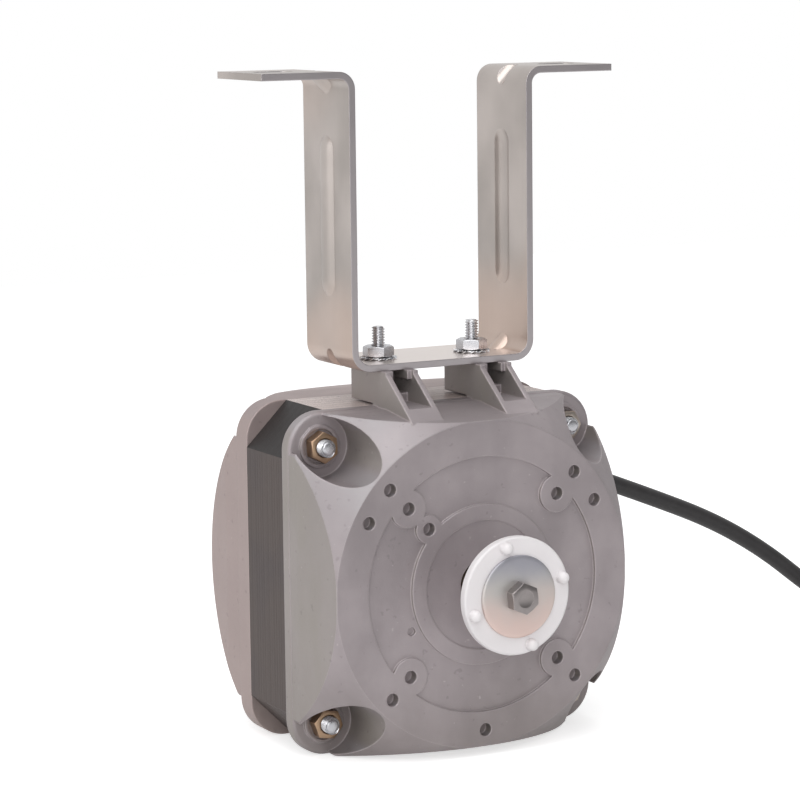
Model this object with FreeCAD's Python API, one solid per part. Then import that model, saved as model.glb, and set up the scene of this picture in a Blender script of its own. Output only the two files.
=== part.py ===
import FreeCAD, Part
import math
import os

# Fan motor with a four-pole shaded-pole stator, two die-cast covers and a bent sheet bracket.
# Millimetres, +Z up. The origin is where the shaft axis meets the front mounting face.
# The shaft lies along Y, the front faces -Y, and the motor stands on the flat sides of its covers.

V = FreeCAD.Vector

# Covers and stack
side = 100.0
corner_radius = 11.0
front_depth = 28.0
rear_depth = 30.7
stack_length = 23.5
front_flange = 4.0
rear_flange = 8.0
cover_wall = 3.0
face_thickness = 3.6
face_inset = 2.0
face_edge = 0.6
front_draft = 2.4
front_draft_depth = 19.5
rear_draft = 1.4
rear_draft_depth = 14.6
side_step = 0.3
dome_reach = 12.8
dome_depth = 20.4
dome_bulge = 0.8
flange_edge = 1.2

# Relief of the front face
face_rim = 10.9
recess_width = 13.8
recess_depth = 1.0
ring_width = 4.6
dish_depth = 1.4
dish_step = 0.5
opening_diameter = 14.0
land_diameter = 11.0
pit_offset = 2.5
pit_angle = 206.0
pit_diameter = 2.4

# Tapped mounting holes
tap_diameter = 3.8
tap_depth = 3.2
tap_wall = 2.2
tap_boss_depth = 8.0
outer_inset = 5.5
inner_inset = 2.9
single_offset = 1.8
rear_tap_diameter = 3.3
rear_tap_depth = 6.0

# Through bolts
bolt_inset = 9.8
bolt_diameter = 5.0
bolt_clearance = 0.3
bolt_overhang = 2.6
pocket_diameter = 18.0
pocket_wall = 2.8
collar_diameter = 12.4
collar_bore = 10.2
collar_height = 0.8
nut_across_flats = 8.0
nut_height = 4.0
head_height = 3.5

# Shaft and bearings
shaft_diameter = 8.0
running_clearance = 0.02
ball_diameter = 16.0
ball_length = 10.6
seat_diameter = 14.0
seat_depth = 3.4
housing_diameter = 30.0
housing_depth = 15.0
felt_bore = 25.0
felt_height = 3.2
clip_thickness = 0.5
small_gap = 0.1
shaft_end_cover = 2.2
washer_gap = 0.4
thrust_thickness = 1.0
thrust_diameter = 15.0
ring_thickness = 0.8
ring_groove = 0.45
snap_ring_diameter = 12.0

# Stator iron
stack_chamfer = 13.0
yoke_wall = 8.0
pole_room = 19.8
air_gap = 0.3
pole_width = 17.0
shoe_thickness = 4.7
shoe_half_angle = 38.0
bridge_thickness = 0.9
shade_angle = 23.6
shade_bar = 1.8
shade_slot_gap = 0.1
shade_end = 1.4

# Coils
bobbin_clearance = 0.15
bobbin_wall = 0.9
bobbin_gap = 0.7
yoke_gap = 0.49
coil_build = 6.2
coil_corner = 4.5
flange_lip = 0.6

# Rotor
rotor_overlap = 0.5
end_ring_height = 4.0
end_ring_clearance = 7.0
end_ring_step = 1.2
bar_count = 17
bar_diameter = 3.0

# Fan hub
hub_diameter = 33.8
hub_front = 18.8
hub_thickness = 3.0
hub_edge = 0.45
hub_neck_diameter = 11.2
hub_neck_flare = 3.0
hub_gap = 0.6
pin_circle = 29.4
pin_diameter = 3.4
pin_height = 3.0
pin_angle = 15.9
hub_washer_diameter = 23.6
hub_washer_thickness = 1.2
hub_screw_length = 14.0
shaft_setback = 0.8

# Bracket
bracket_width = 59.7
strip_width = 29.0
strip_front = 22.5
sheet = 2.0
bracket_height = 85.6
tab_length = 27.1
lower_bend = 6.0
upper_bend = 5.0
slot_length = 12.0
slot_width = 5.4
slot_offset = 16.6
emboss_width = 8.4
emboss_length = 46.0
emboss_height = 1.4
emboss_place = 0.515
gusset_reach = 4.6
gusset_radius = 3.0

# Lugs and bracket screws
stud_edge = 14.35
stud_depth = 34.0
stud_diameter = 4.0
stud_rise = 9.6
stud_clearance = 0.3
lug_height = 10.4
lug_wall = 1.6
lug_plate = 2.6
lug_front = 20.6
lug_rear = 41.3
lug_toe = 4.0
lug_toe_drop = 2.4
lug_root_drop = 4.2
lug_gap = 0.6
lug_nose = 1.0
head_across_flats = 7.0
head_thickness = 2.8
head_gap = 0.2
lug_floor_low = 1.0
lug_floor_high = 3.6
lug_step = 23.0
star_diameter = 11.0
star_thickness = 0.8
star_teeth = 12
star_tooth_depth = 0.9
small_nut_height = 3.2
small_nut_across_flats = 8.0

# Supply lead
lead_diameter = 5.4
lead_setback = 10.5
lead_exit_height = 19.2
relief_collar = 12.0
relief_collar_thickness = 1.6
pad_rim = 0.8
relief_neck = 8.4
relief_root = 9.2
relief_tip = 7.0
relief_length = 24.0
relief_droop = 18.0
coil_radius = 29.9
coil_offset = 110.0
coil_middle_y = 6.0
coil_turns = 2
core_diameter = 2.0
core_length = 26.0
core_tip_diameter = 1.0
core_tip_length = 6.0
core_lead_angle = 290.0

# Values worked out from the sizes above
half_side = side / 2
face_diameter = side - 2 * face_inset
dome_diameter = side + 2 * dome_reach
recess_diameter = face_diameter - 2 * face_rim
ring_diameter = recess_diameter - 2 * recess_width
dish_diameter = ring_diameter - 2 * ring_width
outer_circle = face_diameter - 2 * outer_inset
inner_circle = recess_diameter - 2 * inner_inset
single_circle = ring_diameter + 2 * single_offset
pit_circle = ring_diameter + 2 * pit_offset
total_length = front_depth + stack_length + rear_depth
stack_front = front_depth
stack_rear = front_depth + stack_length
stack_middle = (stack_front + stack_rear) / 2
floor_height = -half_side
bolt_half = half_side - bolt_inset
shaft_radius = shaft_diameter / 2
ball_radius = ball_diameter / 2
ball_centre = seat_depth + math.sqrt(ball_radius ** 2 - (seat_diameter / 2) ** 2) + small_gap
yoke_bore = side - 2 * yoke_wall
yoke_radius = yoke_bore / 2
rotor_diameter = yoke_bore - 2 * pole_room
rotor_length = stack_length + 2 * rotor_overlap
rotor_radius = rotor_diameter / 2
bore_radius = rotor_radius + air_gap
end_ring_diameter = rotor_diameter - 2 * end_ring_step
end_ring_bore = shaft_diameter + 2 * end_ring_clearance
bobbin_lip = pole_width / 2 + bobbin_clearance + bobbin_wall + coil_build + flange_lip
bobbin_start = bore_radius + shoe_thickness + bobbin_gap
bobbin_end = math.sqrt(yoke_radius ** 2 - bobbin_lip ** 2) - yoke_gap
web_height = half_side + lug_height
web_top = web_height + sheet
stud_spacing = bracket_width - 2 * stud_edge
tab_height = web_height + bracket_height
stud_top = web_top + stud_rise
lead_exit_depth = stack_rear + lead_setback
coil_middle_x = half_side + coil_offset


def ring_point(radius, degrees, depth):
    angle = math.radians(degrees)
    return V(radius * math.cos(angle), depth, radius * math.sin(angle))


def rod(diameter, start, end, x=0.0, z=0.0):
    return Part.makeCylinder(diameter / 2, end - start, V(x, start, z), V(0, 1, 0))


def turned(outline):
    points = [V(radius, depth, 0) for radius, depth in outline]
    face = Part.Face(Part.makePolygon(points + points[:1]))
    return face.revolve(V(0, 0, 0), V(0, 1, 0), 360)


def box(low, high):
    return Part.makeBox(high[0] - low[0], high[1] - low[1], high[2] - low[2], V(*low))


def square_wire(half, radius, depth):
    inner = half - radius
    corners = ((inner, inner, 0), (-inner, inner, 90), (-inner, -inner, 180), (inner, -inner, 270))
    edges = []
    ends = []
    for x, z, start in corners:
        arc_points = [V(x, depth, z) + ring_point(radius, start + turn, 0) for turn in (0, 45, 90)]
        edges.append(Part.Arc(*arc_points).toShape())
        ends.append((arc_points[0], arc_points[2]))
    for index in range(4):
        following = ends[(index + 1) % 4]
        edges.append(Part.LineSegment(ends[index][1], following[0]).toShape())
    return Part.Wire(Part.__sortEdges__(edges))


def square_prism(half, radius, start, end):
    face = Part.Face(square_wire(half, radius, start))
    return face.extrude(V(0, end - start, 0))


def sector(inner, outer, first, last, start, end):
    middle = (first + last) / 2
    inner_arc = Part.Arc(*[ring_point(inner, angle, start) for angle in (first, middle, last)])
    outer_arc = Part.Arc(*[ring_point(outer, angle, start) for angle in (first, middle, last)])
    sides = [
        Part.LineSegment(ring_point(inner, angle, start), ring_point(outer, angle, start))
        for angle in (first, last)
    ]
    edges = [curve.toShape() for curve in (inner_arc, outer_arc, sides[0], sides[1])]
    face = Part.Face(Part.Wire(Part.__sortEdges__(edges)))
    return face.extrude(V(0, end - start, 0))


def fuse_all(shapes):
    return shapes[0].multiFuse(shapes[1:]) if len(shapes) > 1 else shapes[0]


def hexagon(across_flats, height, chamfered_end=True):
    corner = across_flats / math.sqrt(3)
    points = [V(corner * math.cos(math.radians(60 * k)), corner * math.sin(math.radians(60 * k)), 0)
              for k in range(6)]
    prism = Part.Face(Part.makePolygon(points + points[:1])).extrude(V(0, 0, height))
    if not chamfered_end:
        return prism
    slope = (corner - across_flats / 2) * 0.6
    outline = [(0, 0), (corner, 0), (corner, height - slope), (across_flats / 2, height), (0, height)]
    face = Part.Face(Part.makePolygon([V(r, 0, z) for r, z in outline + outline[:1]]))
    return prism.common(face.revolve(V(0, 0, 0), V(0, 0, 1), 360))


def point_along_y(shape, forward=True):
    shape.rotate(V(0, 0, 0), V(1, 0, 0), -90 if forward else 90)
    return shape


def moved(shape, x, y, z):
    copy = shape.copy()
    copy.translate(V(x, y, z))
    return copy


def turned_about_shaft(shape, degrees):
    copy = shape.copy()
    copy.rotate(V(0, 0, 0), V(0, 1, 0), -degrees)
    return copy


def to_rear(shape):
    copy = shape.mirror(V(0, 0, 0), V(0, 1, 0))
    copy.translate(V(0, total_length, 0))
    return copy


def bolt_places():
    return [(x * bolt_half, z * bolt_half) for x in (-1, 1) for z in (-1, 1)]


def diagonal_places(circle):
    return [(circle / 2 * x, circle / 2 * z) for x in (-math.sqrt(0.5), math.sqrt(0.5))
            for z in (-math.sqrt(0.5), math.sqrt(0.5))]


def ring_places(circle, angles):
    points = [ring_point(circle / 2, angle, 0) for angle in angles]
    return [(point.x, point.z) for point in points]


# Covers: a dome of revolution cut by a slightly drafted square, on a square flange.
# Both are written with depth counted inwards from the cover's own outer face.
def dome(depth, shrink, start):
    small = face_diameter / 2 - shrink
    large = dome_diameter / 2 - shrink
    lean = math.atan2(large - small, dome_depth)
    middle = V((small + large) / 2 + dome_bulge * math.cos(lean),
               dome_depth / 2 - dome_bulge * math.sin(lean), 0)
    edge = face_edge if shrink == 0 else 0
    first = V(small, edge, 0)
    arc = Part.Arc(first, middle, V(large, dome_depth, 0)).toShape()
    below = [V(large, dome_depth, 0), V(large, depth, 0), V(0, depth, 0), V(0, 0, 0)]
    above = [V(0, 0, 0), V(small - edge, 0, 0)] + ([first] if edge else [])
    edges = [arc] + [Part.LineSegment(a, b).toShape() for a, b in zip(below, below[1:])]
    edges += [Part.LineSegment(a, b).toShape() for a, b in zip(above, above[1:])]
    face = Part.Face(Part.Wire(Part.__sortEdges__(edges)))
    solid = face.revolve(V(0, 0, 0), V(0, 1, 0), 360)
    if start > 0:
        solid = solid.cut(rod(3 * side, -1, start))
    return solid


def drafted_square(front, inset, end):
    draft = front_draft if front else rear_draft
    reach = front_draft_depth if front else rear_draft_depth
    wide = half_side - side_step - inset
    radius = corner_radius - inset
    outlines = [square_wire(wide - draft, radius, 0), square_wire(wide, radius, reach)]
    tapered = Part.makeLoft(outlines, True, True)
    return tapered.fuse(square_prism(wide, radius, reach, end))


def tap_places(front):
    if not front:
        return diagonal_places(inner_circle)
    places = diagonal_places(outer_circle) + diagonal_places(inner_circle)
    return places + ring_places(outer_circle, (30, 150, 270)) + ring_places(single_circle, (135,))


def collar(seat, x, z):
    ring = rod(collar_diameter, seat - collar_height, seat, x, z)
    return ring.cut(rod(collar_bore, seat - collar_height - 1, seat + 1, x, z))


def cover(front):
    depth = front_depth if front else rear_depth
    flange_face = depth - (front_flange if front else rear_flange)
    hole = tap_diameter if front else rear_tap_diameter
    hole_depth = tap_depth if front else rear_tap_depth
    outside = dome(depth, 0, 0).common(drafted_square(front, 0, depth))
    plate = square_prism(half_side, corner_radius, flange_face, depth)
    front_edges = [edge for edge in plate.Edges
                   if all(abs(vertex.Point.y - flange_face) < 1e-6 for vertex in edge.Vertexes)]
    plate = plate.makeFillet(flange_edge, front_edges)
    outside = outside.fuse(plate)

    inner_dome = dome(depth, cover_wall, face_thickness)
    belt = square_prism(half_side - cover_wall, corner_radius - cover_wall, flange_face, depth + 1)
    hollow = inner_dome.common(drafted_square(front, cover_wall, depth)).fuse(belt)
    bosses = [rod(pocket_diameter + 2 * pocket_wall, 0, depth + 1, x, z) for x, z in bolt_places()]
    bosses += [rod(tap_diameter + 2 * tap_wall, 0, tap_boss_depth, x, z) for x, z in tap_places(front)]
    bosses.append(rod(housing_diameter, 0, housing_depth))
    hollow = hollow.cut(fuse_all(bosses))
    body = outside.cut(hollow)

    cuts = []
    for x, z in bolt_places():
        cuts.append(rod(pocket_diameter, -1, flange_face, x, z).cut(collar(flange_face, x, z)))
        cuts.append(rod(bolt_diameter + 2 * bolt_clearance, flange_face - 1, depth + 1, x, z))
    for x, z in tap_places(front):
        cuts.append(rod(hole, -1, hole_depth, x, z))
    cuts.append(rod(seat_diameter, seat_depth - 1.8, seat_depth + 1))
    cuts.append(rod(ball_diameter + 2 * small_gap, seat_depth, seat_depth + ball_length))
    cuts.append(rod(felt_bore, ball_centre, housing_depth + 1))
    return body.cut(fuse_all(cuts))


def face_relief(lands):
    raised = [rod(land_diameter, -1, recess_depth + 1, x, z) for x, z in lands]
    raised += [rod(tap_diameter + 2 * tap_wall, -1, recess_depth + 1, x, z)
               for x, z in ring_places(single_circle, (135,))]
    raised.append(rod(ring_diameter, -1, recess_depth + 1))
    return rod(recess_diameter, -1, recess_depth).cut(fuse_all(raised))


def lug(x_middle):
    half_width = head_across_flats / 2 + head_gap / 2 + lug_wall
    root = half_side - lug_root_drop
    outline = [
        (lug_toe, half_side - lug_toe_drop),
        (lug_front - lug_nose, web_height - lug_nose),
        (lug_front - lug_nose, web_height),
        (lug_rear, web_height),
        (lug_rear, half_side + lug_gap),
        (stack_front, half_side + lug_gap),
        (stack_front, root),
        (lug_toe, root),
    ]
    points = [V(x_middle - half_width, y, z) for y, z in outline]
    body = Part.Face(Part.makePolygon(points + points[:1])).extrude(V(2 * half_width, 0, 0))
    throat = half_width - lug_wall
    ceiling = web_height - lug_plate
    end = stud_depth + head_across_flats / math.sqrt(3) + head_gap
    low_floor = half_side + lug_floor_low
    high_floor = half_side + lug_floor_high
    low = box((x_middle - throat, lug_toe - 1, low_floor), (x_middle + throat, lug_step, ceiling))
    high = box((x_middle - throat, lug_step - 1, high_floor), (x_middle + throat, end, ceiling))
    front_open = box((x_middle - throat, lug_toe - 1, ceiling - 1),
                     (x_middle + throat, lug_front, web_height + 1))
    slot_half = stud_diameter / 2 + stud_clearance
    slot = box((x_middle - slot_half, lug_toe, ceiling - 1),
               (x_middle + slot_half, stud_depth, web_height + 1))
    slot_end = Part.makeCylinder(slot_half, lug_plate + 2, V(x_middle, stud_depth, ceiling - 1))
    return body.cut(fuse_all([low, high, front_open, slot, slot_end]))


def front_cover():
    body = cover(True)
    keep_clear = fuse_all([rod(pocket_diameter, -1, front_depth - front_flange, x, z)
                           for x, z in bolt_places()])
    lugs = [lug(sign * stud_spacing / 2).cut(keep_clear) for sign in (-1, 1)]
    body = body.multiFuse(lugs)
    dish = turned([(0, -1), (dish_diameter / 2, -1), (dish_diameter / 2, dish_step),
                   (opening_diameter / 2, dish_depth), (0, dish_depth)])
    opening = rod(opening_diameter, -1, seat_depth)
    pit = [rod(pit_diameter, -1, recess_depth + 1, x, z) for x, z in ring_places(pit_circle, (pit_angle,))]
    relief = face_relief(diagonal_places(inner_circle))
    return body.cut(fuse_all([relief, dish, opening] + pit))


def rear_cover():
    body = cover(False)
    lands = [rod(land_diameter, -1, recess_depth + 1, x, z) for x, z in diagonal_places(inner_circle)]
    lands.append(rod(ring_diameter, -1, recess_depth + 1))
    body = to_rear(body.cut(rod(recess_diameter, -1, recess_depth).cut(fuse_all(lands))))
    exit_root = V(half_side - 2 * cover_wall, lead_exit_depth, lead_exit_height)
    body = body.fuse(Part.makeCylinder(relief_collar / 2 + pad_rim, 2 * cover_wall, exit_root, V(1, 0, 0)))
    hole_start = exit_root - V(cover_wall, 0, 0)
    exit_hole = Part.makeCylinder(relief_neck / 2, 4 * cover_wall, hole_start, V(1, 0, 0))
    keeper_room = Part.makeCylinder(relief_collar / 2 + small_gap, cover_wall, exit_root, V(1, 0, 0))
    return body.cut(exit_hole).cut(keeper_room)


# Stator: laminated square yoke, star of four poles, bobbins, windings and copper shading rings.
def stator_yoke():
    corner = half_side - stack_chamfer
    outline = [(half_side, corner), (corner, half_side), (-corner, half_side), (-half_side, corner),
               (-half_side, -corner), (-corner, -half_side), (corner, -half_side), (half_side, -corner)]
    points = [V(x, stack_front, z) for x, z in outline]
    body = Part.Face(Part.makePolygon(points + points[:1])).extrude(V(0, stack_length, 0))
    holes = [rod(bolt_diameter + 2 * bolt_clearance, stack_front - 1, stack_rear + 1, x, z)
             for x, z in bolt_places()]
    return body.cut(fuse_all([rod(yoke_bore, stack_front - 1, stack_rear + 1)] + holes))


def shading_loop(turn):
    inner = bore_radius + bridge_thickness + shade_slot_gap
    outer = inner + shade_bar
    first = shade_angle - math.degrees(shade_bar / 2 / inner)
    last = shoe_half_angle + math.degrees((shade_bar + 2 * shade_slot_gap) / inner)
    bar_angle = math.degrees(shade_bar / inner)
    whole = sector(inner, outer, first + turn, last + turn, stack_front - shade_end, stack_rear + shade_end)
    window = sector(inner - 1, outer + 1, first + bar_angle + turn, last - bar_angle + turn,
                    stack_front - small_gap, stack_rear + small_gap)
    return whole.cut(window)


def pole_star():
    parts = [sector(bore_radius, bore_radius + shoe_thickness, turn - shoe_half_angle, turn + shoe_half_angle,
                    stack_front, stack_rear) for turn in (0, 90, 180, 270)]
    bridge = rod(2 * (bore_radius + bridge_thickness), stack_front, stack_rear)
    arm = box((bore_radius + shoe_thickness / 2, stack_front, -pole_width / 2),
              (yoke_radius + 1, stack_rear, pole_width / 2))
    arms = [turned_about_shaft(arm, turn) for turn in (0, 90, 180, 270)]
    arms = [shape.common(rod(yoke_bore, stack_front, stack_rear)) for shape in arms]
    star = fuse_all(parts + arms + [bridge]).cut(rod(2 * bore_radius, stack_front - 1, stack_rear + 1))
    inner = bore_radius + bridge_thickness
    half_slot = math.degrees((shade_bar / 2 + shade_slot_gap) / inner)
    slots = [sector(inner, inner + shade_bar + 2 * shade_slot_gap, turn + shade_angle - half_slot,
                    turn + shade_angle + half_slot, stack_front - 1, stack_rear + 1)
             for turn in (0, 90, 180, 270)]
    return star.cut(fuse_all(slots))


def rounded_block(x0, x1, half_y, half_z, radius):
    block = box((x0, stack_middle - half_y, -half_z), (x1, stack_middle + half_y, half_z))
    if radius <= 0:
        return block
    edges = [edge for edge in block.Edges
             if abs(edge.Vertexes[0].Point.x - edge.Vertexes[-1].Point.x) > (x1 - x0) / 2]
    return block.makeFillet(radius, edges)


def coil_bobbin(turn):
    hole_y = stack_length / 2 + bobbin_clearance
    hole_z = pole_width / 2 + bobbin_clearance
    tube_y = hole_y + bobbin_wall
    tube_z = hole_z + bobbin_wall
    lip_y = tube_y + coil_build + flange_lip
    tube = rounded_block(bobbin_start, bobbin_end, tube_y, tube_z, 0)
    lips = [rounded_block(bobbin_start, bobbin_start + bobbin_wall, lip_y, bobbin_lip, coil_corner),
            rounded_block(bobbin_end - bobbin_wall, bobbin_end, lip_y, bobbin_lip, coil_corner)]
    hole = rounded_block(bobbin_start - 1, bobbin_end + 1, hole_y, hole_z, 0)
    return turned_about_shaft(tube.multiFuse(lips).cut(hole), turn)


def winding(turn):
    tube_y = stack_length / 2 + bobbin_clearance + bobbin_wall
    tube_z = pole_width / 2 + bobbin_clearance + bobbin_wall
    start = bobbin_start + bobbin_wall
    end = bobbin_end - bobbin_wall
    solid = rounded_block(start, end, tube_y + coil_build, tube_z + coil_build, coil_corner)
    return turned_about_shaft(solid.cut(rounded_block(start - 1, end + 1, tube_y, tube_z, 0)), turn)


# Rotor and everything that spins with it.
def shaft():
    rear_end = total_length - shaft_end_cover
    front_end = -hub_front + shaft_setback
    body = rod(shaft_diameter, front_end, rear_end)
    thread = rod(bolt_diameter, front_end - 1, front_end - shaft_setback + hub_screw_length + 1)
    cuts = [thread]
    for start in ring_starts():
        groove = rod(shaft_diameter + 2, start, start + ring_thickness)
        cuts.append(groove.cut(rod(shaft_diameter - 2 * ring_groove, start - 1, start + ring_thickness + 1)))
    return body.cut(fuse_all(cuts))


def thrust_starts():
    inner_end = ball_centre + ball_length / 2 + washer_gap
    return [inner_end, total_length - inner_end - thrust_thickness]


def ring_starts():
    front, rear = thrust_starts()
    return [front + thrust_thickness, rear - ring_thickness]


def thrust_washers():
    bore = shaft_diameter + 4 * running_clearance
    return [rod(thrust_diameter, start, start + thrust_thickness).cut(
        rod(bore, start - 1, start + thrust_thickness + 1)) for start in thrust_starts()]


def snap_rings():
    rings = []
    for start in ring_starts():
        ring = rod(snap_ring_diameter, start, start + ring_thickness)
        bore = rod(shaft_diameter - 2 * ring_groove, start - 1, start + ring_thickness + 1)
        gap = box((-1.2, start - 1, 0), (1.2, start + ring_thickness + 1, snap_ring_diameter))
        rings.append(ring.cut(bore.fuse(gap)))
    return rings


def rotor_bars(extra):
    start = stack_middle - rotor_length / 2
    radius = rotor_radius - bar_diameter / 2 - small_gap
    places = ring_places(2 * radius, [360 * k / bar_count for k in range(bar_count)])
    return [rod(bar_diameter, start - extra, start + rotor_length + extra, x, z) for x, z in places]


def rotor_core():
    start = stack_middle - rotor_length / 2
    body = rod(rotor_diameter, start, start + rotor_length)
    return body.cut(fuse_all([rod(shaft_diameter, start - 1, start + rotor_length + 1)] + rotor_bars(1)))


def rotor_cage():
    start = stack_middle - rotor_length / 2
    rings = []
    for low in (start - end_ring_height, start + rotor_length):
        ring = rod(end_ring_diameter, low, low + end_ring_height)
        rings.append(ring.cut(rod(end_ring_bore, low - 1, low + end_ring_height + 1)))
    bars = [bar.common(rod(end_ring_diameter + 4, start, start + rotor_length)) for bar in rotor_bars(0)]
    return fuse_all(rings + bars)


def fan_hub():
    front = -hub_front
    back = front + hub_thickness
    radius = hub_diameter / 2
    neck = hub_neck_diameter / 2
    neck_end = ball_centre - ball_length / 2 - hub_gap
    body = turned([
        (shaft_radius, front), (radius - hub_edge, front), (radius, front + hub_edge),
        (radius, back - hub_edge), (radius - hub_edge, back), (neck + hub_neck_flare, back),
        (neck, back + hub_neck_flare), (neck, neck_end), (shaft_radius, neck_end),
    ])
    pins = []
    for x, z in ring_places(pin_circle, [pin_angle + 90 * k for k in range(4)]):
        straight = pin_height - pin_diameter / 2
        pins.append(rod(pin_diameter, front - straight, front + hub_edge, x, z))
        pins.append(Part.makeSphere(pin_diameter / 2, V(x, front - straight, z)))
    return body.multiFuse(pins)


def hub_washer():
    front = -hub_front - hub_washer_thickness
    plate = rod(hub_washer_diameter, front, -hub_front)
    return plate.cut(rod(bolt_diameter + bolt_clearance, front - 1, 1 - hub_front))


def hub_screw():
    seat = -hub_front - hub_washer_thickness
    head = point_along_y(hexagon(nut_across_flats, head_height), False)
    head = moved(head, 0, seat, 0)
    head = turned_about_shaft(head, 12)
    return head.fuse(rod(bolt_diameter, seat, seat + hub_washer_thickness + hub_screw_length))


# Plain bearings: a sintered ball in a cone seat, an oil felt round it and a spring clip behind it.
def bearing():
    ball = Part.makeSphere(ball_radius, V(0, ball_centre, 0))
    length = rod(ball_diameter, ball_centre - ball_length / 2, ball_centre + ball_length / 2)
    bore = rod(shaft_diameter + 2 * running_clearance, 0, 3 * ball_centre)
    return ball.common(length).cut(bore)


def oil_felt():
    start = ball_centre + small_gap
    ring = rod(felt_bore - 2 * small_gap, start, start + felt_height)
    return ring.cut(rod(ball_diameter + 2 * small_gap, start - 1, start + felt_height + 1))


def bearing_clip():
    start = ball_centre + 2 * small_gap + felt_height
    reach = start - ball_centre
    bore = 2 * math.sqrt(ball_radius ** 2 - reach ** 2) + 2 * small_gap
    ring = rod(felt_bore, start, start + clip_thickness)
    cuts = [rod(bore, start - 1, start + clip_thickness + 1)]
    for angle in range(0, 360, 60):
        slit = box((bore / 2 - 1, start - 1, -0.5), (felt_bore / 2 - 1.6, start + clip_thickness + 1, 0.5))
        cuts.append(turned_about_shaft(slit, angle))
    return ring.cut(fuse_all(cuts))


# Fasteners of the housing.
def through_bolts():
    head_seat = stack_rear + rear_flange
    nut_front = front_depth - front_flange - nut_height
    bolts = []
    for x, z in bolt_places():
        head = point_along_y(hexagon(nut_across_flats, head_height), True)
        head = moved(head, x, head_seat, z)
        shank = rod(bolt_diameter, nut_front - bolt_overhang, head_seat, x, z)
        bolts.append(head.fuse(shank))
    return bolts


def bolt_nuts():
    seat = front_depth - front_flange
    nuts = []
    for index, (x, z) in enumerate(bolt_places()):
        nut = hexagon(nut_across_flats, nut_height)
        nut.rotate(V(0, 0, 0), V(0, 0, 1), 10 + 17 * index)
        nut = moved(point_along_y(nut, False), x, seat, z)
        nuts.append(nut.cut(rod(bolt_diameter, seat - nut_height - 1, seat + 1, x, z)))
    return nuts


# Bracket: one strip bent up twice and out twice, with pressed ribs, gussets and slotted tabs.
def bracket_profile():
    leg = bracket_width / 2
    half = []
    top = tab_height
    low = web_height
    tip = leg + tab_length
    inner_low = lower_bend - sheet
    inner_high = upper_bend - sheet

    def bend(centre, radius, first, last):
        angles = (first, (first + last) / 2, last)
        return [V(centre[0] + radius * math.cos(math.radians(a)), strip_front,
                  centre[1] + radius * math.sin(math.radians(a))) for a in angles]

    low_centre = (leg - lower_bend, low + lower_bend)
    high_centre = (leg + upper_bend - sheet, top - upper_bend)
    outer_low = bend(low_centre, lower_bend, 270, 360)
    inner_high_arc = bend(high_centre, inner_high, 180, 90)
    outer_high = bend(high_centre, upper_bend, 90, 180)
    inner_low_arc = bend(low_centre, inner_low, 360, 270)
    corners = [V(0, strip_front, low), outer_low, inner_high_arc, V(tip, strip_front, top - sheet),
               V(tip, strip_front, top), outer_high, inner_low_arc, V(0, strip_front, low + sheet)]
    previous = None
    for item in corners + [corners[0]]:
        points = item if isinstance(item, list) else [item]
        if previous is not None:
            half.append(Part.LineSegment(previous, points[0]).toShape())
        if len(points) > 1:
            half.append(Part.Arc(*points).toShape())
        previous = points[-1]
    return Part.Face(Part.Wire(Part.__sortEdges__(half)))


def gusset_bodies():
    leg = bracket_width / 2
    middle = strip_front + strip_width / 2
    ridge = (gusset_reach + 2 * sheet) / math.sqrt(2) - sheet
    bodies = []
    corners = ((leg, web_height, -1, 1), (leg - sheet, tab_height, 1, -1))
    for x, z, inward_x, inward_z in corners:
        direction = V(inward_x, 0, -inward_z)
        inward = V(inward_x, 0, inward_z) * math.sqrt(0.5)
        centre = V(x, middle, z) + inward * (ridge - gusset_radius)
        start = centre - direction * gusset_reach
        length = 2 * gusset_reach * math.sqrt(2)
        hollow = Part.makeCylinder(gusset_radius, length, start, direction)
        web = Part.makeCylinder(gusset_radius + sheet, length, start, direction)
        low_x, high_x = sorted((x, x + inward_x * (gusset_reach + 2 * sheet)))
        low_z, high_z = sorted((z, z + inward_z * (gusset_reach + 2 * sheet)))
        inside = box((low_x, strip_front, low_z), (high_x, strip_front + strip_width, high_z))
        bend_radius = lower_bend if inward_z > 0 else upper_bend
        bend_centre = V(x, 0, z) + V(inward_x, 0, inward_z) * bend_radius
        corner_box_x = sorted((x, bend_centre.x))
        corner_box_z = sorted((z, bend_centre.z))
        outside = box((corner_box_x[0], strip_front, corner_box_z[0]),
                      (corner_box_x[1], strip_front + strip_width, corner_box_z[1]))
        outside = outside.cut(rod(2 * bend_radius, strip_front - 1, strip_front + strip_width + 1,
                                  bend_centre.x, bend_centre.z))
        bodies.append((web.common(inside).cut(outside), hollow))
    return bodies


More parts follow.
